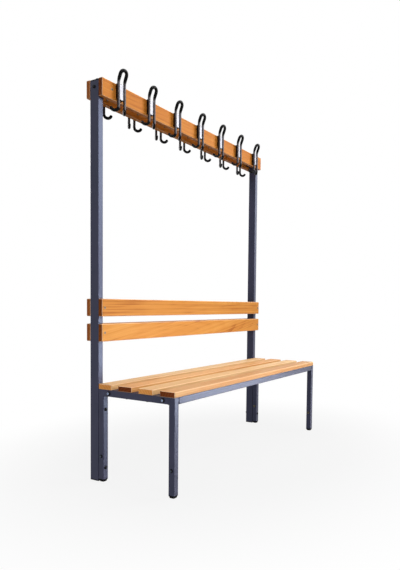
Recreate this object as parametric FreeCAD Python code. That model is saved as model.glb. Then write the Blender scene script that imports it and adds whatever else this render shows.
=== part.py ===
import FreeCAD, Part
import math
import os

# Cloakroom bench with a slatted seat on one side, a slatted backrest and two rails of wire coat hooks.
# Millimetres, +Z up. X runs along the bench, the seat faces -Y, and the floor is at Z = 0.
# The origin is on the floor, under the middle of the whole bench.

# Whole bench
length = 1500.0
seat_height = 450.0
seat_depth = 430.0
post_height = 1810.0

# Steel tube: posts, then the seat frame's legs and rails
post_width = 30.0
post_depth = 50.0
post_wall = 2.0
tube_size = 30.0
tube_wall = 2.0
tube_corner = 2.5
post_gap = 2.0

# Wooden slats
slat_thickness = 24.0
seat_slat_width = 78.0
seat_slat_count = 4
back_slat_width = 80.0
back_slat_gap = 34.0
backrest_bottom = 642.0
rail_rise = 3.0
seat_slat_round = 3.0
back_slat_round = 4.0

# Plastic plugs in the tubes
foot_height = 13.0
foot_flange = 4.0
foot_corner = 10.0
foot_round = 7.0
post_foot_height = 5.0
post_cap_height = 5.0
plug_depth = 15.0
plug_clearance = 0.2

# Seat frame joints
end_plate_thickness = 4.0
end_plate_margin = 2.0
bearing_width = 30.0
side_bolt_inset = 32.0
leg_bolt_height = 118.0
post_bolt_heights = (66.0, 334.0)

# Channel brackets that hold the hook rails to the posts
bracket_plate = 3.0
bracket_arm = 50.0
bracket_height = 50.0
bracket_lift = 6.0
bracket_screw_inset = 18.0

# Bolts and nuts
bolt_diameter = 8.0
bolt_head_diameter = 16.0
bolt_head_height = 5.0
side_bolt_head_diameter = 20.0
side_bolt_head_height = 6.0
bolt_end = 2.0
socket_flats = 5.0
socket_depth = 2.5
nut_flats = 13.0
nut_height = 6.5
hole_clearance = 0.3

# Wood screws
screw_diameter = 5.0
screw_head_diameter = 12.0
screw_head_height = 3.4
screw_bite = 9.0
seat_screw_bite = 16.0
seat_screw_inset = 10.0
slat_screw_offset = 3.0
drive_width = 1.2
drive_depth = 1.2
screw_clearance = 0.2

# Wire hooks
hook_count = 7
wire_diameter = 13.0
wire_spacing = 39.5
wire_proud = 3.5
wire_clearance = 0.2
loop_knee_rise = 2.0
loop_bend_radius = 60.0
loop_lean_degrees = 22.5
front_loop_straight = 15.0
rear_loop_straight = 4.0
curl_drop = 25.5
curl_radius = 17.5
curl_degrees = 172.0
curl_turn_degrees = 45.0
tip_round = 5.0

# Blocks behind the wires, and the plates between them
base_width = 40.0
base_height = 70.0
base_depth = 12.0
base_round = 2.0
base_screw_spacing = 36.0
base_screw_cover = 3.0
plate_thickness = 3.0
plate_gap = 1.0
plate_round = 2.0

# Heights that follow
seat_bottom = seat_height - slat_thickness
rail_bottom_z = seat_bottom - tube_size
rail_middle_z = seat_bottom - tube_size / 2
hook_rail_top = post_height + rail_rise
hook_rail_bottom = hook_rail_top - back_slat_width
bracket_z = (hook_rail_top + hook_rail_bottom) / 2 + bracket_lift
backrest_bottoms = (backrest_bottom, backrest_bottom + back_slat_width + back_slat_gap)

# Wire line: how far it stands off the rail, and how far the rear loops lean out past the rail
wire_radius = wire_diameter / 2
wire_half = wire_spacing / 2
wire_standoff = base_depth + wire_proud
lean = math.radians(loop_lean_degrees)
loop_bend_reach = loop_bend_radius * (1 - math.cos(lean))
loop_straights = {"front": front_loop_straight, "rear": rear_loop_straight}
rear_loop_run = rear_loop_straight + wire_half
hook_reach = wire_standoff + loop_bend_reach + rear_loop_run * math.sin(lean) + wire_radius

# Places along Y that follow
overall_depth = seat_depth + post_gap + post_depth + slat_thickness + hook_reach
seat_front = -overall_depth / 2
seat_back = seat_front + seat_depth
post_front = seat_back + post_gap
post_back = post_front + post_depth
post_middle_y = (post_front + post_back) / 2
rail_start_y = seat_front + tube_size
rail_end_y = seat_back - tube_size
leg_middles_y = {"front": seat_front + tube_size / 2, "rear": seat_back - tube_size / 2}
side_bolts_y = (rail_start_y + side_bolt_inset, rail_end_y - side_bolt_inset)

# Places along X that follow, measured on the right-hand half
end_x = length / 2
post_inner_x = end_x - post_width
post_middle_x = end_x - post_width / 2
tube_inner_x = end_x - tube_size
tube_middle_x = end_x - tube_size / 2
plate_inner_x = tube_inner_x - end_plate_thickness
bearing_inner_x = tube_inner_x - bearing_width

SIDES = {"left": -1, "right": 1}
FACES = {"front": -1, "rear": 1}
X = FreeCAD.Vector(1, 0, 0)
Y = FreeCAD.Vector(0, 1, 0)
Z = FreeCAD.Vector(0, 0, 1)

parts = {}
groups = {}


def point(x, y, z):
    return FreeCAD.Vector(x, y, z)


def box(x, y, z):
    """A block from three (low, high) pairs, given in either order."""
    low = [min(pair) for pair in (x, y, z)]
    size = [abs(pair[1] - pair[0]) for pair in (x, y, z)]
    return Part.makeBox(*size, FreeCAD.Vector(*low))


def edges_along(shape, axis):
    return [e for e in shape.Edges if abs(e.tangentAt(e.FirstParameter).dot(axis)) > 0.999]


def rounded_bar(x, y, z, axis, radius):
    """A block whose edges along one axis are rounded."""
    block = box(x, y, z)
    return block.makeFillet(radius, edges_along(block, axis))


def inset(pair, amount):
    return (min(pair) + amount, max(pair) - amount)


def tube(x, y, z, axis, wall):
    """A rectangular tube with rounded corners, open at both ends of its axis."""
    bore = [pair if axis[i] else inset(pair, wall) for i, pair in enumerate((x, y, z))]
    inner_corner = max(tube_corner - wall, tube_corner / 4)
    return rounded_bar(x, y, z, axis, tube_corner).cut(rounded_bar(*bore, axis, inner_corner))


def slat(y, z, radius):
    """A full-length wooden slat with every edge rounded."""
    block = box((-end_x, end_x), y, z)
    return block.makeFillet(radius, block.Edges)


def rod(start, direction, run, radius):
    return Part.makeCylinder(radius, run, start, direction)


def prism(start, direction, run, flats):
    """A hexagonal bar along a direction, from its size across the flats."""
    corner = flats / math.sqrt(3)
    turns = [math.radians(60 * i) for i in range(7)]
    outline = Part.makePolygon([point(corner * math.cos(t), corner * math.sin(t), 0) for t in turns])
    bar = Part.Face(outline).extrude(Z * run)
    bar.Placement = FreeCAD.Placement(start, FreeCAD.Rotation(Z, direction))
    return bar


def add(group, solid):
    groups.setdefault(group, []).append(solid)


def drill(tool, *names):
    for name in names:
        parts[name] = parts[name].cut(tool)


def bolt(group, seat, direction, grip, *drilled, head_size=(bolt_head_diameter, bolt_head_height)):
    """A domed socket bolt from its seat along a direction, its nut after the grip and holes on the way."""
    head_diameter, head_height = head_size
    shank_run = grip + nut_height + bolt_end
    crown = seat - direction * head_height
    head = rod(crown, direction, head_height, head_diameter / 2)
    rim = [e for e in head.Edges if e.Closed and abs((e.CenterOfMass - crown).dot(direction)) < 0.01]
    dome = head.makeFillet(head_height * 0.8, rim)
    socket = prism(crown, direction, socket_depth, socket_flats)
    shank = rod(seat, direction, shank_run, bolt_diameter / 2)
    add(group, dome.cut(socket).fuse(shank).removeSplitter())
    hole = rod(seat, direction, grip, bolt_diameter / 2 + hole_clearance)
    drill(hole, *drilled)
    nut(seat + direction * grip, direction)
    return hole


def nut(seat, direction):
    """A hexagonal nut with turned corners."""
    turned = rod(seat, direction, nut_height, nut_flats / math.sqrt(3))
    turned = turned.makeChamfer(nut_height / 8, [e for e in turned.Edges if e.Closed])
    bore = rod(seat, direction, nut_height, bolt_diameter / 2 + hole_clearance)
    add("frame_nuts", prism(seat, direction, nut_height, nut_flats).common(turned).cut(bore))


def cross_drive(crown, direction):
    """The cross cut into a screw's head, down from its crown."""
    across = Z if abs(direction.dot(Z)) < 0.5 else X
    side = direction.cross(across)
    arm = screw_head_diameter * 0.3
    cuts = []
    for along, sideways in ((across, side), (side, across)):
        corner = crown - along * arm - sideways * (drive_width / 2)
        loop = [corner, corner + along * (2 * arm)]
        loop += [loop[1] + sideways * drive_width, corner + sideways * drive_width, corner]
        cuts.append(Part.Face(Part.makePolygon(loop)).extrude(direction * drive_depth))
    return cuts[0].fuse(cuts[1])


def pointed_shank(start, direction, run):
    radius = screw_diameter / 2
    point_run = screw_diameter
    straight = rod(start, direction, run - point_run, radius)
    tip = Part.makeCone(radius, radius / 5, point_run, start + direction * (run - point_run), direction)
    return straight.fuse(tip)


def flush_screw(group, crown, direction, through, bite, *drilled):
    """A countersunk screw with its head flush at the crown, through one piece and into the next."""
    run = through + bite
    head_radius = screw_head_diameter / 2
    shank_radius = screw_diameter / 2
    head = Part.makeCone(head_radius, shank_radius, screw_head_height, crown, direction)
    body = pointed_shank(crown + direction * screw_head_height, direction, run - screw_head_height)
    add(group, head.fuse(body).cut(cross_drive(crown, direction)).removeSplitter())
    sink = Part.makeCone(head_radius + screw_clearance, shank_radius + screw_clearance, screw_head_height,
                         crown, direction)
    drill(sink.fuse(rod(crown, direction, run, shank_radius + screw_clearance)), *drilled)


def pan_screw(group, seat, direction, run, *drilled):
    """A pan-head screw whose head sits on a face; returns the hole that it needs."""
    crown = seat - direction * screw_head_height
    head = rod(crown, direction, screw_head_height, screw_head_diameter / 2)
    rim = [e for e in head.Edges if e.Closed and abs((e.CenterOfMass - crown).dot(direction)) < 0.01]
    head = head.makeFillet(screw_head_height * 0.6, rim).cut(cross_drive(crown, direction))
    add(group, head.fuse(pointed_shank(seat, direction, run)).removeSplitter())
    hole = rod(seat, direction, run + screw_clearance, screw_diameter / 2 + screw_clearance)
    drill(hole, *drilled)
    return hole


def spread(low, high, width, count):
    """Low edges of evenly spaced strips that fill a span from end to end."""
    step = (high - low - width) / (count - 1)
    return [low + i * step for i in range(count)]


def plug(x, y, wall, z, direction):
    """The stub of a plug inside a tube, from its flange at height z."""
    gap = wall + plug_clearance
    corner = max(tube_corner - wall, tube_corner / 4)
    return rounded_bar(inset(x, gap), inset(y, gap), (z, z + direction * plug_depth), Z, corner)


def make_posts():
    for side, sign in SIDES.items():
        x = (sign * end_x, sign * post_inner_x)
        y = (post_front, post_back)
        top = post_height - post_cap_height
        parts[side + "_post"] = tube(x, y, (post_foot_height, top), Z, post_wall)
        cap = rounded_bar(x, y, (top, post_height), Z, tube_corner)
        parts[side + "_post_cap"] = cap.fuse(plug(x, y, post_wall, top, -1)).removeSplitter()
        foot = rounded_bar(x, y, (0, post_foot_height), Z, tube_corner)
        parts[side + "_post_foot"] = foot.fuse(plug(x, y, post_wall, post_foot_height, 1)).removeSplitter()


def make_legs():
    for side, sign in SIDES.items():
        x = (sign * end_x, sign * tube_inner_x)
        for face, middle in leg_middles_y.items():
            y = (middle - tube_size / 2, middle + tube_size / 2)
            parts[f"{side}_{face}_leg"] = tube(x, y, (foot_height, seat_bottom), Z, tube_wall)
            sole = make_sole(x, y)
            flange = rounded_bar(x, y, (foot_height - foot_flange, foot_height), Z, tube_corner)
            stub = plug(x, y, tube_wall, foot_height, 1)
            parts[f"{side}_{face}_foot"] = sole.fuse([flange, stub]).removeSplitter()


def make_sole(x, y):
    """The rounded pad under a foot's flange."""
    height = foot_height - foot_flange
    pad = rounded_bar(x, y, (0, height), Z, min(foot_corner, tube_size * 0.45))
    rim = [e for e in pad.Edges if e.BoundBox.ZMax < height / 2]
    return pad.makeFillet(min(foot_round, height * 0.9), rim)


def make_seat_frame():
    z = (rail_bottom_z, seat_bottom)
    cross_y = (rail_start_y, rail_end_y)
    for side, sign in SIDES.items():
        parts[side + "_side_rail"] = tube((sign * end_x, sign * tube_inner_x), cross_y, z, Y, tube_wall)
    long_x = (-plate_inner_x, plate_inner_x)
    parts["front_rail"] = tube(long_x, (seat_front, rail_start_y), z, X, tube_wall)
    parts["rear_rail"] = tube(long_x, (rail_end_y, seat_back), z, X, tube_wall)
    parts["seat_cross_rail"] = tube((-tube_size / 2, tube_size / 2), cross_y, z, Y, tube_wall)
    make_end_plates()


def make_end_plates():
    """An angle along each side rail: its upright leg ends the long rails, its level leg bears the slats."""
    upright_y = inset((seat_front, seat_back), end_plate_margin)
    upright_z = (rail_bottom_z + end_plate_margin, seat_bottom)
    level_z = (seat_bottom - end_plate_thickness, seat_bottom)
    for sign in SIDES.values():
        upright = box((sign * tube_inner_x, sign * plate_inner_x), upright_y, upright_z)
        level = box((sign * tube_inner_x, sign * bearing_inner_x), (rail_start_y, rail_end_y), level_z)
        angle = upright.fuse(level).removeSplitter()
        for bolt_y in side_bolts_y:
            through = rod(point(sign * tube_inner_x, bolt_y, rail_middle_z), X * -sign, end_plate_thickness,
                          bolt_diameter / 2 + hole_clearance)
            angle = angle.cut(through)
        add("rail_end_plates", angle)


def make_seat_slats():
    lows = spread(seat_front, seat_back, seat_slat_width, seat_slat_count)
    for number, low in enumerate(reversed(lows), 1):
        y = (low, low + seat_slat_width)
        parts[f"seat_slat_{number}"] = slat(y, (seat_bottom, seat_height), seat_slat_round)
        screw_y = min(max(low + seat_slat_width / 2, rail_start_y + seat_screw_inset),
                      rail_end_y - seat_screw_inset)
        carriers = {"left_side_rail": -tube_middle_x, "seat_cross_rail": 0, "right_side_rail": tube_middle_x}
        for carrier, x in carriers.items():
            pan_screw("seat_screws", point(x, screw_y, rail_bottom_z), Z, tube_size + seat_screw_bite,
                      carrier, f"seat_slat_{number}")


def make_back_slats():
    faces_y = {"front": post_front, "rear": post_back}
    for face, out in FACES.items():
        y = (faces_y[face], faces_y[face] + out * slat_thickness)
        for name, low in zip(("lower", "upper"), backrest_bottoms):
            node = f"{face}_{name}_backrest"
            parts[node] = slat(y, (low, low + back_slat_width), back_slat_round)
            for side, sign in SIDES.items():
                crown = point(sign * (post_middle_x - slat_screw_offset), y[1], low + back_slat_width / 2)
                flush_screw("backrest_screws", crown, Y * -out, slat_thickness, screw_bite,
                            node, side + "_post")
        parts[face + "_hook_rail"] = slat(y, (hook_rail_bottom, hook_rail_top), back_slat_round)


def make_brackets():
    z = (bracket_z - bracket_height / 2, bracket_z + bracket_height / 2)
    for side, sign in SIDES.items():
        node = side + "_rail_bracket"
        reach = post_inner_x - bracket_arm
        channel = box((sign * post_inner_x, sign * reach), (post_front, post_back), z)
        hollow = box((sign * (post_inner_x - bracket_plate), sign * reach),
                     (post_front + bracket_plate, post_back - bracket_plate), z)
        parts[node] = channel.cut(hollow)
        bolt("bracket_bolts", point(sign * end_x, post_middle_y, bracket_z), X * -sign,
             post_width + bracket_plate, side + "_post", node)
        for face, out in FACES.items():
            seat_y = {"front": post_front, "rear": post_back}[face]
            crown = point(sign * (reach + bracket_screw_inset), seat_y + out * slat_thickness, bracket_z)
            flush_screw("hook_rail_screws", crown, Y * -out, slat_thickness, screw_bite,
                        face + "_hook_rail", node)


def make_bolts():
    for side, sign in SIDES.items():
        inward = X * -sign
        for bolt_y in side_bolts_y:
            bolt("side_rail_bolts", point(sign * end_x, bolt_y, rail_middle_z), inward,
                 tube_size + end_plate_thickness, side + "_side_rail",
                 head_size=(side_bolt_head_diameter, side_bolt_head_height))
        for face, leg_y in leg_middles_y.items():
            bolt("leg_bolts", point(sign * end_x, leg_y, leg_bolt_height), inward, tube_size,
                 f"{side}_{face}_leg")
        for height in post_bolt_heights:
            seat = point(sign * tube_middle_x, seat_back - tube_size, height)
            hole = bolt("post_bolts", seat, Y, tube_size + post_gap + post_depth,
                        side + "_rear_leg", side + "_post")
            washer = rod(point(seat.x, seat_back, height), Y, post_gap, bolt_head_diameter / 2)
            add("post_spacers", washer.cut(hole))


def wire_path(loop_straight):
    """The line of one hook's wire as seen from the front: x across, y away from the rail, z up."""
    curl_z = hook_rail_bottom - curl_drop
    knee_z = hook_rail_top + loop_knee_rise
    turn = math.radians(curl_turn_degrees)
    up = point(0, math.sin(lean), math.cos(lean))

    def curl(sign, degrees):
        angle = math.radians(degrees)
        out = curl_radius * (1 - math.cos(angle))
        return point(sign * (wire_half + out * math.cos(turn)), wire_standoff - out * math.sin(turn),
                     curl_z - curl_radius * math.sin(angle))

    def bend(sign, angle):
        return point(sign * wire_half, wire_standoff + loop_bend_radius * (1 - math.cos(angle)),
                     knee_z + loop_bend_radius * math.sin(angle))

    def arc(*three):
        return Part.Arc(*three).toShape()

    def line(start, end):
        return Part.LineSegment(start, end).toShape()

    def half(sign):
        foot = curl(sign, 0)
        loop_start = bend(sign, lean) + up * loop_straight
        return [arc(curl(sign, curl_degrees), curl(sign, curl_degrees / 2), foot),
                line(foot, bend(sign, 0)),
                arc(bend(sign, 0), bend(sign, lean / 2), bend(sign, lean)),
                line(bend(sign, lean), loop_start)], loop_start

    left, left_end = half(-1)
    right, right_end = half(1)
    crown = (left_end + right_end) / 2 + up * wire_half
    top = arc(left_end, crown, right_end)
    return Part.Wire(left + [top] + right[::-1])


def make_wire(loop_straight):
    """One hook's bent wire with rounded tips."""
    path = wire_path(loop_straight)
    start_edge = path.OrderedEdges[0]
    start = start_edge.Curve.value(start_edge.FirstParameter)
    heading = start_edge.tangentAt(start_edge.FirstParameter)
    profile = Part.Wire(Part.Circle(start, heading, wire_radius).toShape())
    wire = path.makePipeShell([profile], True, False)
    ends = [f for f in wire.Faces if f.Surface.TypeId == "Part::GeomPlane"]
    return wire.makeFillet(min(tip_round, wire_radius * 0.9), [f.Edges[0] for f in ends])


def make_base():
    """One hook's block: grooved for the wire, with two blind screw holes from behind."""
    z = (hook_rail_top - base_height, hook_rail_top)
    block = rounded_bar((-base_width / 2, base_width / 2), (0, base_depth), z, Z, base_round)
    for sign in (-1, 1):
        start = point(sign * wire_half, wire_standoff, z[0])
        block = block.cut(rod(start, Z, base_height, wire_radius + wire_clearance))
    return block


def make_plate():
    """One hook's plate, between the two runs of the wire."""
    half_width = wire_half - wire_radius - plate_gap
    z = (hook_rail_top - base_height, hook_rail_top)
    y = (base_depth, base_depth + plate_thickness)
    return rounded_bar((-half_width, half_width), y, z, Y, plate_round)


def make_hooks():
    base, plate = make_base(), make_plate()
    pitch = length / hook_count
    screw_run = slat_thickness + base_depth - base_screw_cover
    base_z = hook_rail_top - base_height / 2
    for face, out in FACES.items():
        wire = make_wire(loop_straights[face])
        inner_y = {"front": post_front, "rear": post_back}[face]
        turn = FreeCAD.Rotation(Z, 180 if face == "front" else 0)
        for number in range(1, hook_count + 1):
            x = -end_x + (number - 0.5) * pitch
            place = FreeCAD.Placement(point(x, inner_y + out * slat_thickness, 0), turn)
            parts[f"{face}_hook_{number}"] = wire.transformed(place.toMatrix())
            block = base.transformed(place.toMatrix())
            for lift in (-base_screw_spacing / 2, base_screw_spacing / 2):
                hole = pan_screw("hook_base_screws", point(x, inner_y, base_z + lift), Y * out, screw_run,
                                 face + "_hook_rail")
                block = block.cut(hole)
            add(face + "_hook_bases", block)
            add(face + "_hook_plates", plate.transformed(place.toMatrix()))


def main():
    make_posts()
    make_legs()
    make_seat_frame()
    make_seat_slats()
    make_back_slats()
    make_brackets()
    make_bolts()
    make_hooks()
    for node, solids in groups.items():
        parts[node] = Part.makeCompound(solids)
    os.makedirs("parts", exist_ok=True)
    for node, shape in parts.items():
        shape.exportStep(f"parts/{node}.step")
    print(len(parts), "nodes")


main()
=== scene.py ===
import math

import bpy
from mathutils import Matrix, Vector


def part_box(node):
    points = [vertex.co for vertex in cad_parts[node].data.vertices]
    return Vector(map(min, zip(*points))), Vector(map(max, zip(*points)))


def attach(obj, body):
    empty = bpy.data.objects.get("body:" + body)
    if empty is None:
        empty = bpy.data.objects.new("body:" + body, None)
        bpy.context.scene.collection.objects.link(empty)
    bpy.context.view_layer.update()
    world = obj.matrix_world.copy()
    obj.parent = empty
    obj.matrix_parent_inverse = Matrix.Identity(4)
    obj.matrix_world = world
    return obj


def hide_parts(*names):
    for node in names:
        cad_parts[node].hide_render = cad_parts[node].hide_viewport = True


# Cloakroom bench: tube frame, lacquered slats and dipped wire hooks, dressed over the fixed frame.
# Metres, +Z up. X runs along the bench and the seat faces -Y.

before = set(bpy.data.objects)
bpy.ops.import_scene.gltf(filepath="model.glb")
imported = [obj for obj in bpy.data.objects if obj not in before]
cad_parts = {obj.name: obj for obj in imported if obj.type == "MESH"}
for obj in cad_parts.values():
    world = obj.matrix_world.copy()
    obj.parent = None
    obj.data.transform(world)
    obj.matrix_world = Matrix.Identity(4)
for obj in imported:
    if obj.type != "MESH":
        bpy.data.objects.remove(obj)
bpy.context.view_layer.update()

# Steel tube and its plastic plugs
TUBE_CORNER = 0.0025
TUBE_WALL = 0.002
PLUG_DEPTH = 0.015
PLUG_GAP = TUBE_WALL + 0.0002
FOOT_HEIGHT = 0.013
FOOT_FLANGE = 0.004
FOOT_CORNER = 0.010
FOOT_ROUND = 0.007
FOOT_OVERLAP = 0.002
POST_FOOT_HEIGHT = 0.005
CAP_HEIGHT = 0.005
PLUG_EDGE = 0.0008

# Slats and their countersunk screws
SEAT_SLAT_ROUND = 0.003
BACK_SLAT_ROUND = 0.004
SCREW_HEAD = 0.012
SCREW_SHANK = 0.005
SCREW_SINK = 0.0034
SCREW_GAP = 0.0002
SLAT_SCREW_OFFSET = 0.003
BRACKET_SCREW_REACH = 0.032

# Domed socket bolts
BOLT_RADIUS = 0.004
BOLT_HEAD = (0.008, 0.005)
SIDE_BOLT_HEAD = (0.010, 0.006)
BOLT_DOME_SHARE = 0.8
SOCKET_SHARE = 0.36
SOCKET_DEPTH = 0.0025
# How bright the sockets are painted: a painted highlight, strongest on the side rail bolts
SOCKET_HIGHLIGHT = 0.12
LEG_SOCKET_HIGHLIGHT = 0.4
SIDE_SOCKET_HIGHLIGHT = 1.0
NUT_RUN = 0.0085
SIDE_BOLT_INSET = 0.032
LEG_BOLT_HEIGHT = 0.118
POST_BOLT_HEIGHTS = (0.066, 0.334)

# Wire hooks, measured from the rail's face
HOOK_COUNT = 7
WIRE_RADIUS = 0.0065
WIRE_SIDES = 24
LOOP_DIP_RADIUS = 0.008
TIP_DIP_RADIUS = 0.0071
DIP_RISE = 0.012
DIP_FADE = 0.007
WIRE_HALF = 0.01975
WIRE_STANDOFF = 0.0155
LOOP_KNEE_RISE = 0.002
LOOP_BEND = 0.060
BEND_STEPS = 6
LOOP_STEPS = 14
LOOP_LEAN = math.radians(22.5)
LOOP_STRAIGHTS = {"front": 0.015, "rear": 0.004}
CURL_DROP = 0.0255
CURL_RADIUS = 0.0175
CURL_ANGLE = math.radians(152)
CURL_STEPS = 18
TIP_RUN = 0.006
CURL_TURN = math.radians(45)
TIP_ROUND = 0.005
BASE_SIZE = Vector((0.040, 0.012, 0.070))
BASE_ROUND = 0.002
GROOVE_GAP = 0.0002
PLATE_SIZE = Vector((0.0245, 0.003, 0.070))
PLATE_ROUND = 0.002
PLATE_EDGE = 0.0008

# The photograph's camera, from the foot of the left post's outer front corner
CAMERA_OFFSET = Vector((-1.7711, -1.7598, 0.8162))
CAMERA_TURN = (87.218, -0.683, -59.176)
CAMERA_LENS = 33.845
CAMERA_SHIFT = (-0.0561, 0.0802)
CAMERA_SENSOR = 36
CAMERA_LIMIT = 100

# Studio floor, where the bench's shadow fades out, and the even light around
FLOOR_SIZE = 60
FLOOR_DROP = 0.0005
SHADOW_SPREAD = (3.6, 2.2)
SHADOW_FADE = (0.35, 1.0)
SHADOW_STRENGTH = 0.12
WORLD_LIGHT = 0.1

X = Vector((1, 0, 0))
Y = Vector((0, 1, 0))
Z = Vector((0, 0, 1))
SIDES = {"left": -1, "right": 1}
FACES = {"front": -1, "rear": 1}


# Shader nodes


class Socket:
    """A shader socket that takes part in Python sums: each operation adds a Math node."""

    def __init__(self, nodes, socket):
        self.nodes = nodes
        self.socket = socket

    def math(self, operation, first, second=0.0):
        return self.nodes.node("ShaderNodeMath", {"operation": operation}, {0: first, 1: second})

    def __add__(self, other):
        return self.math("ADD", self, other)

    def __radd__(self, other):
        return self.math("ADD", other, self)

    def __sub__(self, other):
        return self.math("SUBTRACT", self, other)

    def __rsub__(self, other):
        return self.math("SUBTRACT", other, self)

    def __mul__(self, other):
        return self.math("MULTIPLY", self, other)

    def __truediv__(self, other):
        return self.math("DIVIDE", self, other)

    def __pow__(self, other):
        return self.math("POWER", self, other)

    def fraction(self):
        return self.math("FRACT", self)

    def size(self):
        return self.math("ABSOLUTE", self)

    def larger(self, other):
        return self.math("MAXIMUM", self, other)


class Nodes:
    """One node tree, with a method that adds any node and a few that add the usual ones."""

    def __init__(self, tree):
        self.tree = tree

    def node(self, kind, settings=None, inputs=None, output=0):
        made = self.tree.nodes.new(kind)
        for name, value in (settings or {}).items():
            setattr(made, name, value)
        for name, value in (inputs or {}).items():
            self.feed(made.inputs[name], value)
        return Socket(self, made.outputs[output])

    def feed(self, target, value):
        if isinstance(value, Socket):
            self.tree.links.new(value.socket, target)
        else:
            target.default_value = value

    def place(self):
        return self.node("ShaderNodeTexCoord", output="Object")

    def stretched(self, place, scale, offset=(0, 0, 0)):
        return self.node("ShaderNodeMapping", {}, {"Vector": place, "Scale": scale, "Location": offset})

    def noise(self, place, scale=1.0, detail=3.0, rough=0.5):
        inputs = {"Vector": place, "Scale": scale, "Detail": detail, "Roughness": rough}
        return self.node("ShaderNodeTexNoise", {}, inputs, "Fac")

    def ramp(self, value, low, high):
        """Rises smoothly from 0 at low to 1 at high."""
        settings = {"interpolation_type": "SMOOTHSTEP"}
        return self.node("ShaderNodeMapRange", settings, {"Value": value, "From Min": low, "From Max": high})

    def mix(self, share, first, second):
        return self.node("ShaderNodeMix", {"data_type": "RGBA"}, {0: share, 6: first, 7: second}, 2)

    def shade(self, colour, value):
        """A colour made lighter or darker by a number."""
        grey = self.node("ShaderNodeCombineColor", {}, {"Red": value, "Green": value, "Blue": value})
        settings = {"data_type": "RGBA", "blend_type": "MULTIPLY"}
        return self.node("ShaderNodeMix", settings, {0: 1.0, 6: colour, 7: grey}, 2)

    def split(self, place):
        made = self.tree.nodes.new("ShaderNodeSeparateXYZ")
        self.feed(made.inputs["Vector"], place)
        return [Socket(self, made.outputs[axis]) for axis in "XYZ"]

    def bump(self, height, distance, strength=1.0):
        inputs = {"Height": height, "Distance": distance, "Strength": strength}
        return self.node("ShaderNodeBump", {}, inputs)


def srgb(red, green, blue):
    """A colour as it looks on a screen, 0 to 255, as the shader's linear numbers."""
    shares = [value / 255 for value in (red, green, blue)]
    return (*[s / 12.92 if s <= 0.04045 else ((s + 0.055) / 1.055) ** 2.4 for s in shares], 1.0)


class Finish(Nodes):
    """A material, fed through its one shader."""

    def __init__(self, name):
        self.material = bpy.data.materials.new(name)
        self.material.use_nodes = True
        super().__init__(self.material.node_tree)
        self.shader = self.tree.nodes["Principled BSDF"]

    def set(self, **inputs):
        for name, value in inputs.items():
            self.feed(self.shader.inputs[name.replace("_", " ")], value)
        return self.material


# Finishes

# Pale tone laid on the slats' rounded edges: a painted highlight, where lacquered edges catch the light
EDGE_HIGHLIGHT_TONE = (250, 214, 180)
EDGE_HIGHLIGHT_SHARE = 0.75


def wood(name, tones, end_tones, seed, pith, slope, ring=0.012, arcs=0.2, tilt=0.0):
    """Lacquered hardwood with its grain along X.

    The sides show arcs round a slanting pith, streaks and fibres, the ends end grain; the rounded edges
    carry a pale painted highlight.
    """
    f = Finish(name)
    place = f.place()
    x, y, z = f.split(place)
    along_fibres = f.node("ShaderNodeMapping", {}, {"Vector": place, "Rotation": (0, tilt, 0)})

    def grain(along, across, shift, detail=3):
        offset = (seed * 3.1 + shift, seed * 1.7, seed * 2.3 - shift)
        return f.noise(f.stretched(along_fibres, (along, across, across), offset), detail=detail, rough=0.6)

    across = y - (x * slope[0] + pith[0]) + (grain(1.1, 5, 0.5, 2) - 0.5) * 0.03
    upward = z - (x * slope[1] + pith[1]) + (grain(1.7, 6, 1.5, 2) - 0.5) * 0.03
    rings = ((across * across + upward * upward) ** 0.5 / ring).fraction()
    late_wood = f.ramp(rings, 0.35, 0.88) * (1 - f.ramp(rings, 0.88, 1.0))
    broad = f.ramp(grain(0.8, 16, 2.5), 0.34, 0.66)
    narrow = f.ramp(grain(1.6, 120, 3.5), 0.34, 0.66)
    patches = f.ramp(grain(3.2, 10, 4.5, 2), 0.36, 0.68)
    fibres = grain(14, 900, 5.5)
    flecks = f.node("ShaderNodeTexVoronoi", {}, {"Vector": f.stretched(place, (90, 520, 520))}, "Distance")
    fleck = 1 - f.ramp(flecks, 0.12, 0.3)
    depth = broad * 0.26 + narrow * 0.4 + patches * 0.12 + late_wood * patches * arcs + fibres * 0.12 - 0.03
    pale, middle, deep = tones
    side = f.mix(f.ramp(depth, 0.5, 0.95), f.mix(f.ramp(depth, 0.05, 0.55), pale, middle), deep)
    side = f.shade(side, 1.0 - fleck * 0.08)
    pores = f.noise(place, 900, 2)
    end = f.shade(f.mix(late_wood * 0.6 + patches * 0.4, *end_tones), 0.85 + pores * 0.3)
    facing = [part.size() for part in f.split(f.node("ShaderNodeNewGeometry", output="Normal"))]
    cut = f.ramp(facing[0], 0.55, 0.9)
    # Rounded edges, where no face is flat, get the pale painted highlight
    edge = 1 - f.ramp(facing[0].larger(facing[1]).larger(facing[2]), 0.75, 0.98)
    relief = fibres * 0.5 + late_wood * 0.2 - fleck * 0.3
    return f.set(Base_Color=f.mix(edge * EDGE_HIGHLIGHT_SHARE, f.mix(cut, side, end), srgb(*EDGE_HIGHLIGHT_TONE)),
                 Roughness=0.36 + fibres * 0.14 + cut * 0.15,
                 Specular_IOR_Level=0.04,
                 Normal=f.bump(relief, 0.0002, 0.5))


def powder_coat():
    """Satin blue-grey powder coat: a fine orange peel, slightly uneven colour and a cool sheen."""
    f = Finish("blue_grey_powder_coat")
    place = f.place()
    mottle = f.noise(place, 9, 4)
    grit = f.noise(place, 2200, 2)
    peel = f.noise(place, 420, 2)
    colour = f.mix(f.ramp(mottle, 0.35, 0.65), srgb(40, 36, 50), srgb(49, 44, 60))
    return f.set(Base_Color=f.shade(colour, 0.94 + grit * 0.12),
                 Roughness=0.35 + mottle * 0.1 + grit * 0.05,
                 Specular_IOR_Level=0.54,
                 Specular_Tint=(0.48, 0.62, 1.0, 1.0),
                 Normal=f.bump(peel * 0.8 + grit * 0.2, 0.0002, 0.4))


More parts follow.
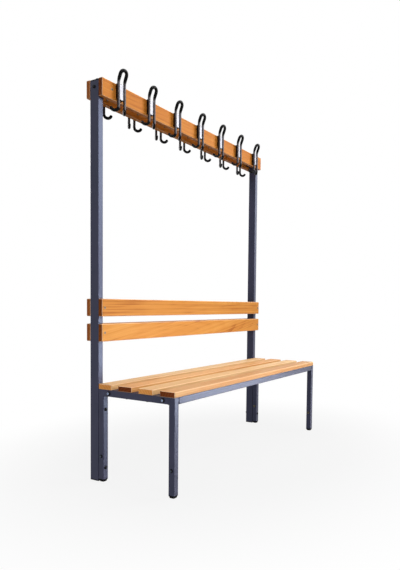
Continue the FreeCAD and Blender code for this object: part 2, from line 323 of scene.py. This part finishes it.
def moulded_black(name, tone, rough, sheen):
    """Moulded plastic with a fine spark-eroded texture and a few rubbed spots."""
    f = Finish(name)
    place = f.place()
    grain = f.noise(place, 1500, 2)
    rubbed = f.ramp(f.noise(place, 60, 4), 0.55, 0.75)
    return f.set(Base_Color=f.mix(rubbed * 0.5 + grain * 0.2, srgb(*tone), srgb(*[v + 10 for v in tone])),
                 Roughness=rough - rubbed * 0.1 + grain * 0.08,
                 Specular_IOR_Level=sheen,
                 Normal=f.bump(grain, 0.0002, 0.4))


def black_bolt():
    """Blackened steel, with bright metal in the socket as a painted highlight."""
    f = Finish("black_bolt_coating")
    grain = f.noise(f.place(), 1500, 2)
    # The attribute marks the socket faces that carry the painted highlight
    painted_glint = f.node("ShaderNodeAttribute", {"attribute_name": "painted_glint"}, output="Fac")
    return f.set(Base_Color=f.mix(painted_glint, f.mix(grain, srgb(2, 2, 4), srgb(9, 9, 13)), srgb(152, 164, 188)),
                 Metallic=painted_glint,
                 Roughness=0.18 + grain * 0.1,
                 Specular_IOR_Level=0.1,
                 Normal=f.bump(grain, 0.0001, 0.3))


def dipped_wire(bare_low, bare_high):
    """Drawn steel, bare between two heights and under a black dip coating above and below them."""
    f = Finish("dipped_steel_wire")
    place = f.place()
    flow = f.noise(f.stretched(place, (90, 90, 30)), detail=2)
    dust = f.noise(place, 700, 3)
    drawn = f.noise(f.stretched(place, (900, 900, 20)), detail=3)
    height = f.split(place)[2] + flow * 0.003
    bare = f.ramp(height, bare_low - DIP_FADE, bare_low)
    bare = bare * (1 - f.ramp(height, bare_high - DIP_FADE, bare_high + DIP_FADE))
    coat = f.mix(dust, srgb(1, 1, 2), srgb(4, 4, 5))
    steel = f.mix(drawn, srgb(52, 50, 53), srgb(66, 64, 67))
    return f.set(Base_Color=f.mix(bare, coat, steel),
                 Metallic=bare,
                 Roughness=0.14 + flow * 0.1 + dust * 0.05 + bare * 0.14,
                 Specular_IOR_Level=0.08,
                 Normal=f.bump(flow, 0.0004, 0.4))


def white_plate():
    """Smooth white plastic with faint moulding flow and handling marks."""
    f = Finish("white_plate_plastic")
    place = f.place()
    flow = f.noise(f.stretched(place, (40, 40, 12)), detail=3)
    marks = f.ramp(f.noise(f.stretched(place, (500, 500, 60)), detail=2), 0.6, 0.8)
    return f.set(Base_Color=f.shade(f.mix(flow, srgb(186, 186, 198), srgb(175, 175, 188)), 1 - marks * 0.06),
                 Roughness=0.28 + marks * 0.2 + flow * 0.08,
                 Specular_IOR_Level=0.4,
                 Normal=f.bump(flow, 0.0002, 0.3))


def plated_steel():
    """Zinc plating: grey and slightly cloudy, with fine turning marks."""
    f = Finish("zinc_plating")
    place = f.place()
    cloud = f.noise(place, 240, 4)
    marks = f.noise(place, 3000, 2)
    return f.set(Base_Color=f.mix(cloud, srgb(96, 88, 74), srgb(126, 116, 98)),
                 Metallic=1.0,
                 Roughness=0.4 + cloud * 0.2 + marks * 0.1,
                 Normal=f.bump(marks, 0.0001, 0.4))


# Modelling by hand


def alone(piece):
    """Selects one piece and nothing else, and makes it the active one."""
    bpy.ops.object.select_all(action="DESELECT")
    piece.select_set(True)
    bpy.context.view_layer.objects.active = piece


def start(name, primitive, **settings):
    """Adds a primitive under a name, with nothing else selected."""
    bpy.ops.object.select_all(action="DESELECT")
    primitive(**settings)
    piece = bpy.context.object
    piece.name = name
    piece.data.name = name
    return piece


def settle(piece):
    """Puts the place, turn and scale of a piece into its mesh."""
    alone(piece)
    bpy.ops.object.transform_apply(location=True, rotation=True, scale=True)
    return piece


def block(name, low, high):
    """A cube stretched to a box."""
    piece = start(name, bpy.ops.mesh.primitive_cube_add, size=1, location=(low + high) / 2)
    piece.scale = high - low
    return settle(piece)


def edit(piece, kind, test):
    """Enters edit mode with only those edges or faces selected that pass a test."""
    alone(piece)
    bpy.ops.object.mode_set(mode="EDIT")
    bpy.ops.mesh.select_mode(type=kind)
    bpy.ops.mesh.select_all(action="DESELECT")
    bpy.ops.object.mode_set(mode="OBJECT")
    mesh = piece.data
    for item in mesh.edges if kind == "EDGE" else mesh.polygons:
        item.select = test(item)
    bpy.ops.object.mode_set(mode="EDIT")


def leave():
    bpy.ops.object.mode_set(mode="OBJECT")


def ends_of(piece, edge):
    return [piece.data.vertices[i].co for i in edge.vertices]


def along(piece, axis):
    """A test for straight edges that run along an axis."""
    def test(edge):
        first, second = ends_of(piece, edge)
        return abs((second - first).normalized().dot(axis)) > 0.99
    return test


def at_level(piece, axis, level):
    """A test for edges that lie in one plane across an axis."""
    def test(edge):
        return all(abs(point.dot(axis) - level) < 1e-5 for point in ends_of(piece, edge))
    return test


def round_edges(piece, test, radius, segments):
    edit(piece, "EDGE", test)
    bpy.ops.mesh.bevel(offset=radius, segments=segments, affect="EDGES", profile=0.5, clamp_overlap=True)
    leave()


def face_towards(direction):
    """A test for faces that point along a direction."""
    return lambda face: face.normal.dot(direction) > 0.99


def modify(piece, kind, **settings):
    """Adds a modifier and applies it."""
    alone(piece)
    modifier = piece.modifiers.new(kind.lower(), kind)
    for name, value in settings.items():
        setattr(modifier, name, value)
    bpy.ops.object.modifier_apply(modifier=modifier.name)


def cut_away(piece, *cutters):
    """Cuts other shapes out of a piece and throws them away."""
    for cutter in cutters:
        modify(piece, "BOOLEAN", operation="DIFFERENCE", solver="EXACT", object=cutter)
        bpy.data.objects.remove(cutter)


def smooth(piece, degrees=35):
    """Smooths the rounds and keeps the flats flat."""
    alone(piece)
    bpy.ops.object.shade_smooth_by_angle(angle=math.radians(degrees))
    modify(piece, "WEIGHTED_NORMAL", keep_sharp=True, weight=80)


def outward(piece):
    """Merges doubled points and turns every face outwards."""
    alone(piece)
    bpy.ops.object.mode_set(mode="EDIT")
    bpy.ops.mesh.select_all(action="SELECT")
    bpy.ops.mesh.remove_doubles(threshold=1e-6)
    bpy.ops.mesh.normals_make_consistent(inside=False)
    leave()


def copy_of(piece, name, matrix):
    """A copy with its own mesh, moved by a matrix."""
    alone(piece)
    bpy.ops.object.duplicate(linked=False)
    twin = bpy.context.object
    twin.name = name
    twin.data.name = name
    twin.matrix_world = matrix
    return settle(twin)


def joined(name, pieces):
    bpy.ops.object.select_all(action="DESELECT")
    for piece in pieces:
        piece.select_set(True)
    bpy.context.view_layer.objects.active = pieces[0]
    bpy.ops.object.join()
    pieces[0].name = name
    pieces[0].data.name = name
    return pieces[0]


def stand_for(piece, node, finish):
    """Paints a piece and puts it in a node's place."""
    piece.data.materials.clear()
    piece.data.materials.append(finish)
    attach(piece, "root")
    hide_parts(node)


# Frame


def tube(node, axis, finish):
    """A square tube with rounded corners, open at its ends, with a real wall."""
    piece = block(node + "_tube", *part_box(node))
    round_edges(piece, along(piece, axis), TUBE_CORNER, 4)
    edit(piece, "FACE", lambda face: abs(face.normal.dot(axis)) > 0.99)
    bpy.ops.mesh.delete(type="FACE")
    leave()
    modify(piece, "SOLIDIFY", thickness=TUBE_WALL, offset=-1, use_rim=True)
    smooth(piece)
    stand_for(piece, node, finish)


def make_tubes(finish):
    for side in SIDES:
        tube(side + "_post", Z, finish)
        tube(side + "_side_rail", Y, finish)
        for face in FACES:
            tube(f"{side}_{face}_leg", Z, finish)
    for node in ("front_rail", "rear_rail"):
        tube(node, X, finish)
    tube("seat_cross_rail", Y, finish)


def plug(node, bottom, top, inward):
    """A plug: a flange that shows, between two heights, and a stub inside the tube on its inward side."""
    low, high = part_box(node)
    piece = block(node + "_plug", Vector((low.x, low.y, bottom)), Vector((high.x, high.y, top)))
    round_edges(piece, along(piece, Z), TUBE_CORNER, 4)
    shown = bottom if inward.z > 0 else top
    round_edges(piece, at_level(piece, Z, shown), PLUG_EDGE, 2)
    edit(piece, "FACE", face_towards(inward))
    bpy.ops.mesh.inset(thickness=PLUG_GAP)
    push(inward * PLUG_DEPTH)
    leave()
    smooth(piece)
    return piece


def foot(node):
    """A leg's plug with a rounded pad under its flange."""
    low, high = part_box(node)
    top = low.z + FOOT_HEIGHT
    seam = top - FOOT_FLANGE
    piece = plug(node, seam, top, Z)
    pad = block(node + "_pad", low, Vector((high.x, high.y, seam + FOOT_OVERLAP)))
    round_edges(pad, along(pad, Z), FOOT_CORNER, 8)
    round_edges(pad, at_level(pad, Z, low.z), FOOT_ROUND, 6)
    modify(piece, "BOOLEAN", operation="UNION", solver="EXACT", object=pad)
    bpy.data.objects.remove(pad)
    smooth(piece)
    return piece


def make_plugs(finish):
    for side in SIDES:
        for face in FACES:
            node = f"{side}_{face}_foot"
            stand_for(foot(node), node, finish)
        node = side + "_post_foot"
        low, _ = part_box(node)
        stand_for(plug(node, low.z, low.z + POST_FOOT_HEIGHT, Z), node, finish)
        node = side + "_post_cap"
        _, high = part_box(node)
        stand_for(plug(node, high.z - CAP_HEIGHT, high.z, -Z), node, finish)


# Slats


def slat(node, radius, finish, sinks=()):
    """A full-length slat with rounded edges, countersunk where a screw comes through."""
    piece = block(node + "_board", *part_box(node))
    round_edges(piece, lambda edge: True, radius, 4)
    cut_away(piece, *[countersink(*sink) for sink in sinks])
    smooth(piece)
    stand_for(piece, node, finish)


def countersink(crown, inward):
    """The hole for a flush screw head, from its crown inwards."""
    wide = SCREW_HEAD / 2 + SCREW_GAP
    narrow = SCREW_SHANK / 2 + SCREW_GAP
    cone = start("sink", bpy.ops.mesh.primitive_cone_add, vertices=32, radius1=wide, radius2=narrow,
                 depth=SCREW_SINK, location=crown + inward * (SCREW_SINK / 2),
                 rotation=inward.to_track_quat("Z", "Y").to_euler())
    return settle(cone)


def make_seat(finishes):
    for number, finish in enumerate(finishes, 1):
        slat(f"seat_slat_{number}", SEAT_SLAT_ROUND, finish)


def make_back(finishes):
    post_low, post_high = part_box("right_post")
    bracket_low, bracket_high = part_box("right_rail_bracket")
    screw_x = {"hook_rail": bracket_high.x - BRACKET_SCREW_REACH}
    screw_z = {"hook_rail": (bracket_low.z + bracket_high.z) / 2}
    for face, out in FACES.items():
        for name, finish in finishes[face].items():
            node = f"{face}_{name}"
            low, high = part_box(node)
            x = screw_x.get(name, (post_low.x + post_high.x) / 2 - SLAT_SCREW_OFFSET)
            z = screw_z.get(name, (low.z + high.z) / 2)
            y = low.y if out < 0 else high.y
            sinks = [(Vector((sign * x, y, z)), Y * -out) for sign in SIDES.values()]
            slat(node, BACK_SLAT_ROUND, finish, sinks)


# Hooks


def sweep(steps, angle, centre, axis):
    """Spins the selected ring round an axis, turning the right-handed way."""
    bpy.ops.mesh.spin(steps=steps, angle=-angle, center=centre, axis=axis)


def push(move):
    bpy.ops.mesh.extrude_region_move(TRANSFORM_OT_translate={"value": move})


def widen(scale):
    """Scales the selected ring about its own middle."""
    bpy.ops.transform.resize(value=(scale, scale, scale))


def wire(rail_low, rail_high, loop_straight):
    """One wire, with its rail's face at Y = 0, thicker where it is dipped.

    Half of it is drawn as a ring from the crown to the tip, and then mirrored.
    """
    up = Vector((0, -math.sin(LOOP_LEAN), math.cos(LOOP_LEAN)))
    knee = Vector((-WIRE_HALF, -WIRE_STANDOFF, rail_high + LOOP_KNEE_RISE))
    bend_centre = knee - Y * LOOP_BEND
    bend_end = bend_centre + LOOP_BEND * Vector((0, math.cos(LOOP_LEAN), math.sin(LOOP_LEAN)))
    loop_centre = bend_end + up * loop_straight + X * WIRE_HALF
    curl_start = Vector((knee.x, knee.y, rail_low - CURL_DROP))
    outwards = Vector((-math.cos(CURL_TURN), math.sin(CURL_TURN), 0))
    ring = start("wire", bpy.ops.mesh.primitive_circle_add, vertices=WIRE_SIDES, radius=LOOP_DIP_RADIUS,
                 location=loop_centre + up * WIRE_HALF, rotation=(0, math.pi / 2, 0))
    settle(ring)
    bpy.ops.object.mode_set(mode="EDIT")
    bpy.ops.mesh.select_all(action="SELECT")
    sweep(LOOP_STEPS, math.pi / 2, loop_centre, X.cross(up))
    push(-up * loop_straight)
    for _ in range(BEND_STEPS):
        sweep(1, LOOP_LEAN / BEND_STEPS, bend_centre, -X)
        widen((WIRE_RADIUS / LOOP_DIP_RADIUS) ** (1 / BEND_STEPS))
    push(curl_start - knee)
    push(Vector())
    widen(TIP_DIP_RADIUS / WIRE_RADIUS)
    sweep(CURL_STEPS, CURL_ANGLE, curl_start + outwards * CURL_RADIUS, outwards.cross(Z))
    push((outwards * math.sin(CURL_ANGLE) - Z * math.cos(CURL_ANGLE)) * TIP_RUN)
    bpy.ops.mesh.edge_face_add()
    bpy.ops.mesh.bevel(offset=TIP_ROUND, segments=5, affect="EDGES")
    leave()
    modify(ring, "MIRROR", use_axis=(True, False, False), merge_threshold=1e-5)
    outward(ring)
    smooth(ring)
    return ring


def base(rail_high):
    """The block behind a wire, grooved where the wire lies in it."""
    half = BASE_SIZE.x / 2
    low = Vector((-half, -BASE_SIZE.y, rail_high - BASE_SIZE.z))
    high = Vector((half, 0, rail_high))
    piece = block("base", low, high)
    round_edges(piece, along(piece, Z), BASE_ROUND, 4)
    grooves = []
    for sign in (-1, 1):
        groove = start("groove", bpy.ops.mesh.primitive_cylinder_add, vertices=32, depth=2 * BASE_SIZE.z,
                       radius=WIRE_RADIUS + GROOVE_GAP,
                       location=(sign * WIRE_HALF, -WIRE_STANDOFF, rail_high - BASE_SIZE.z / 2))
        grooves.append(settle(groove))
    cut_away(piece, *grooves)
    smooth(piece)
    return piece


def plate(rail_high):
    """The plate between the two runs of a wire, with soft corners and edges."""
    half = PLATE_SIZE.x / 2
    back = -BASE_SIZE.y
    piece = block("plate", Vector((-half, back - PLATE_SIZE.y, rail_high - PLATE_SIZE.z)),
                  Vector((half, back, rail_high)))
    round_edges(piece, along(piece, Y), PLATE_ROUND, 4)
    round_edges(piece, at_level(piece, Y, back - PLATE_SIZE.y), PLATE_EDGE, 3)
    smooth(piece)
    return piece


def make_hooks(wire_finish, base_finish, plate_finish):
    rail_low, rail_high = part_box("front_hook_rail")
    wires = {face: wire(rail_low.z, rail_high.z, straight) for face, straight in LOOP_STRAIGHTS.items()}
    block_model, plate_model = base(rail_high.z), plate(rail_high.z)
    pitch = (rail_high.x - rail_low.x) / HOOK_COUNT
    for face, out in FACES.items():
        low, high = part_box(face + "_hook_rail")
        bases, plates = [], []
        for number in range(1, HOOK_COUNT + 1):
            centre = Vector((low.x + (number - 0.5) * pitch, low.y if out < 0 else high.y, 0))
            place = Matrix.Translation(centre) @ Matrix.Rotation(math.pi if out > 0 else 0, 4, "Z")
            node = f"{face}_hook_{number}"
            stand_for(copy_of(wires[face], node + "_wire", place), node, wire_finish)
            bases.append(copy_of(block_model, f"{face}_base_{number}", place))
            plates.append(copy_of(plate_model, f"{face}_plate_{number}", place))
        stand_for(joined(face + "_hook_blocks", bases), face + "_hook_bases", base_finish)
        stand_for(joined(face + "_hook_cards", plates), face + "_hook_plates", plate_finish)
    for model in (*wires.values(), block_model, plate_model):
        bpy.data.objects.remove(model)


# Bolts and screws


def bolt(name, seat, direction, grip, head, glint):
    """A domed socket bolt, its head against a seat, its shank along a direction, its socket a painted
    highlight.
    """
    radius, height = head
    run = grip + NUT_RUN
    piece = start(name, bpy.ops.mesh.primitive_cylinder_add, vertices=32, radius=radius, depth=height,
                  location=(0, 0, height / 2))
    settle(piece)
    round_edges(piece, at_level(piece, Z, height), height * BOLT_DOME_SHARE, 6)
    edit(piece, "FACE", face_towards(-Z))
    bpy.ops.mesh.inset(thickness=radius - BOLT_RADIUS)
    push(Z * -run)
    leave()
    socket = start("socket", bpy.ops.mesh.primitive_cylinder_add, vertices=6, radius=radius * SOCKET_SHARE,
                   depth=2 * SOCKET_DEPTH, location=(0, 0, height))
    cut_away(piece, settle(socket))
    # Socket faces get the bright metal tone, a painted highlight
    painted_glint = piece.data.attributes.new("painted_glint", "FLOAT", "FACE")
    for face, mark in zip(piece.data.polygons, painted_glint.data):
        in_socket = face.center.z > 0 and face.center.xy.length < radius * SOCKET_SHARE
        mark.value = glint if in_socket else 0.0
    smooth(piece)
    turn = direction.to_track_quat("-Z", "Y").to_matrix().to_4x4()
    piece.matrix_world = Matrix.Translation(seat) @ turn
    return settle(piece)


def make_bolts(finish):
    groups = {"side_rail_bolts": [], "leg_bolts": [], "post_bolts": [], "bracket_bolts": []}

    def add(node, seat, direction, grip, head=BOLT_HEAD, glint=SOCKET_HIGHLIGHT):
        groups[node].append(bolt("bolt", Vector(seat), direction, grip, head, glint))

    for side, sign in SIDES.items():
        inward = X * -sign
        rail_low, rail_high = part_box(side + "_side_rail")
        outer = rail_low.x if sign < 0 else rail_high.x
        for y in (rail_low.y + SIDE_BOLT_INSET, rail_high.y - SIDE_BOLT_INSET):
            add("side_rail_bolts", (outer, y, (rail_low.z + rail_high.z) / 2), inward,
                rail_high.x - rail_low.x, SIDE_BOLT_HEAD, SIDE_SOCKET_HIGHLIGHT)
        for face in FACES:
            low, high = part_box(f"{side}_{face}_leg")
            add("leg_bolts", (outer, (low.y + high.y) / 2, LEG_BOLT_HEIGHT), inward, high.x - low.x,
                glint=LEG_SOCKET_HIGHLIGHT)
        leg_low, leg_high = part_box(side + "_rear_leg")
        post_low, post_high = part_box(side + "_post")
        for height in POST_BOLT_HEIGHTS:
            add("post_bolts", ((leg_low.x + leg_high.x) / 2, leg_low.y, height), Y, post_high.y - leg_low.y)
        low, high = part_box(side + "_rail_bracket")
        add("bracket_bolts", (outer, (post_low.y + post_high.y) / 2, (low.z + high.z) / 2), inward,
            post_high.x - post_low.x)
    for node, bolts in groups.items():
        stand_for(joined(node + "_set", bolts), node, finish)


def smooth_twin(node, finish):
    """A node's own shape, merged and smoothed."""
    twin = copy_of(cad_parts[node], node + "_set", Matrix.Identity(4))
    twin.parent = None
    for key in list(twin.keys()):
        if key.startswith("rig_"):
            del twin[key]
    outward(twin)
    smooth(twin, 30)
    stand_for(twin, node, finish)


def make_screws(finish):
    for use in ("seat", "backrest", "hook_rail", "hook_base"):
        smooth_twin(use + "_screws", finish)
    for node in ("frame_nuts", "post_spacers"):
        smooth_twin(node, finish)


def paint_nodes(finish, *names):
    """Gives CAD nodes that stay as they are a finish of their own."""
    for name in names:
        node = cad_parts[name]
        node.data.materials.clear()
        node.data.materials.append(finish)


# Studio


def add_camera():
    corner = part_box("left_post")[0]
    place = Vector((corner.x, corner.y, 0)) + CAMERA_OFFSET
    bpy.ops.object.select_all(action="DESELECT")
    bpy.ops.object.camera_add(location=place, rotation=[math.radians(a) for a in CAMERA_TURN])
    camera = bpy.context.object
    camera.data.lens = CAMERA_LENS
    camera.data.sensor_width = CAMERA_SENSOR
    camera.data.shift_x, camera.data.shift_y = CAMERA_SHIFT
    camera.data.clip_end = CAMERA_LIMIT
    bpy.context.scene.camera = camera


def seen_directly(nodes):
    """1 for the camera's own rays and for those that metal or glass sends on."""
    light_path = nodes.tree.nodes.new("ShaderNodeLightPath")
    rays = [Socket(nodes, light_path.outputs[name])
            for name in ("Is Camera Ray", "Is Glossy Ray", "Is Transmission Ray")]
    return rays[0].larger(rays[1]).larger(rays[2])


def add_floor():
    """A pale floor: white far out, and near the bench with its soft shadow."""
    f = Finish("pale_floor")
    x, y, _ = f.split(f.place())
    reach = (x * x / SHADOW_SPREAD[0] + y * y / SHADOW_SPREAD[1]) ** 0.5
    shadow_kept = (1 - f.ramp(reach, *SHADOW_FADE)) * SHADOW_STRENGTH
    f.set(Base_Color=srgb(122, 122, 122), Roughness=0.9, Specular_IOR_Level=0.0)
    glow = f.node("ShaderNodeEmission", {}, {"Color": (1, 1, 1, 1), "Strength": 1.0})
    share = seen_directly(f) * (1 - shadow_kept)
    blend = f.node("ShaderNodeMixShader", {}, {0: share, 1: Socket(f, f.shader.outputs[0]), 2: glow})
    f.feed(f.tree.nodes["Material Output"].inputs["Surface"], blend)
    floor = start("floor", bpy.ops.mesh.primitive_plane_add, size=FLOOR_SIZE, location=(0, 0, -FLOOR_DROP))
    floor.data.materials.append(f.material)


def add_world(strength):
    """White where it is seen directly, and an even soft light otherwise."""
    world = bpy.data.worlds.new("studio")
    world.use_nodes = True
    bpy.context.scene.world = world
    nodes = Nodes(world.node_tree)
    level = seen_directly(nodes) * (1 - strength) + strength
    background = world.node_tree.nodes["Background"]
    background.inputs["Color"].default_value = (1, 1, 1, 1)
    nodes.feed(background.inputs["Strength"], level)


def add_lamp(name, place, aim, size, radiance, spread=180):
    """A soft square lamp of a given brightness, aimed at a point, with its spread in degrees."""
    bpy.ops.object.select_all(action="DESELECT")
    bpy.ops.object.light_add(type="AREA", location=place)
    lamp = bpy.context.object
    lamp.name = name
    lamp.data.shape = "SQUARE"
    lamp.data.size = size
    lamp.data.energy = radiance * math.pi * size * size
    lamp.data.spread = math.radians(spread)
    lamp.rotation_euler = (Vector(aim) - Vector(place)).to_track_quat("-Z", "Y").to_euler()


def add_lamps():
    add_lamp("front_right_softbox", (5.6, -5.6, 4.0), (0, 0, 0.9), 4.6, 10.6)
    add_lamp("low_left_softbox", (-2.3, -0.4, 0.35), (-0.7, 0, 0.5), 0.8, 4.6)
    add_lamp("front_key", (-1.7, -3.0, 3.5), (0, 0, 0.8), 0.8, 33.0)
    add_lamp("low_right_softbox", (1.9, -2.3, 0.15), (-0.4, -0.43, -0.3), 1.0, 5.2, 56)
    add_lamp("overhead_softbox", (0.2, -0.2, 4.2), (0, -0.1, 0.4), 2.4, 4.4)
    add_lamp("rear_softbox", (0.6, 5.4, 2.6), (0, 0, 0.9), 1.4, 20.0)


def seat_finishes():
    """Four boards from back to front, the second a darker one, with pale and dark end grain in turn."""
    tones = (srgb(222, 188, 142), srgb(210, 168, 118), srgb(186, 132, 80))
    dark_tones = (srgb(216, 168, 112), srgb(200, 142, 84), srgb(168, 104, 54))
    # The front board is a darker copy of the seat wood: painted shade, standing in for dimmer light on its
    # front face
    front_board_shaded_tones = (srgb(206, 166, 119), srgb(195, 143, 94), srgb(170, 111, 63))
    pale_ends = (srgb(250, 176, 98), srgb(228, 146, 74))
    dark_ends = (srgb(136, 70, 34), srgb(100, 48, 22))
    return [wood("seat_wood_1", tones, pale_ends, 1.0, (0.25, 0.36), (0.04, 0.03)),
            wood("seat_wood_2", dark_tones, dark_ends, 2.0, (-0.10, 0.38), (-0.05, 0.04)),
            wood("seat_wood_3", tones, pale_ends, 3.0, (-0.02, 0.36), (0.05, -0.04)),
            wood("seat_wood_4", front_board_shaded_tones, dark_ends, 4.0, (-0.33, 0.38), (0.06, 0.03))]


def back_finishes(face, ends, rail_ends):
    """The two backrest boards and the hook rail of one face, with the given end grain."""
    tones = (srgb(208, 147, 73), srgb(197, 131, 58), srgb(166, 98, 39))
    rail_tones = (srgb(202, 132, 55), srgb(190, 116, 43), srgb(162, 91, 30))
    boards = {"lower_backrest": (tones, ends, 5.0, (0.20, 0.66), (0.14, 0.08), 0.018, 0.34, 0.17),
              "upper_backrest": (tones, ends, 6.0, (0.34, 0.90), (0.03, 0.02)),
              "hook_rail": (rail_tones, rail_ends, 7.0, (0.28, 1.70), (-0.03, 0.04))}
    return {name: wood(f"{face}_{name}_wood", *board) for name, board in boards.items()}


def make_bench():
    paint = powder_coat()
    make_tubes(paint)
    make_plugs(moulded_black("black_plug_plastic", (4, 4, 5), 0.45, 0.05))
    make_seat(seat_finishes())
    front_boards = back_finishes("front", (srgb(152, 82, 32), srgb(118, 60, 22)),
                                 (srgb(156, 86, 44), srgb(122, 64, 30)))
    # The rear boards' end grain is paler than the front's: painted light, for the light falling on those
    # ends
    rear_boards = back_finishes("rear", (srgb(182, 106, 52), srgb(150, 82, 36)),
                                (srgb(208, 128, 74), srgb(178, 104, 54)))
    make_back({"front": front_boards, "rear": rear_boards})
    rail_low, rail_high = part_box("front_hook_rail")
    wire_finish = dipped_wire(rail_low.z - CURL_DROP, rail_high.z + DIP_RISE)
    make_hooks(wire_finish, moulded_black("black_block_plastic", (6, 5, 6), 0.4, 0.12), white_plate())
    make_bolts(black_bolt())
    make_screws(plated_steel())
    paint_nodes(paint, "rail_end_plates", "left_rail_bracket", "right_rail_bracket")


make_bench()
add_camera()
add_floor()
add_world(WORLD_LIGHT)
add_lamps()
bpy.context.scene.view_settings.view_transform = "Standard"
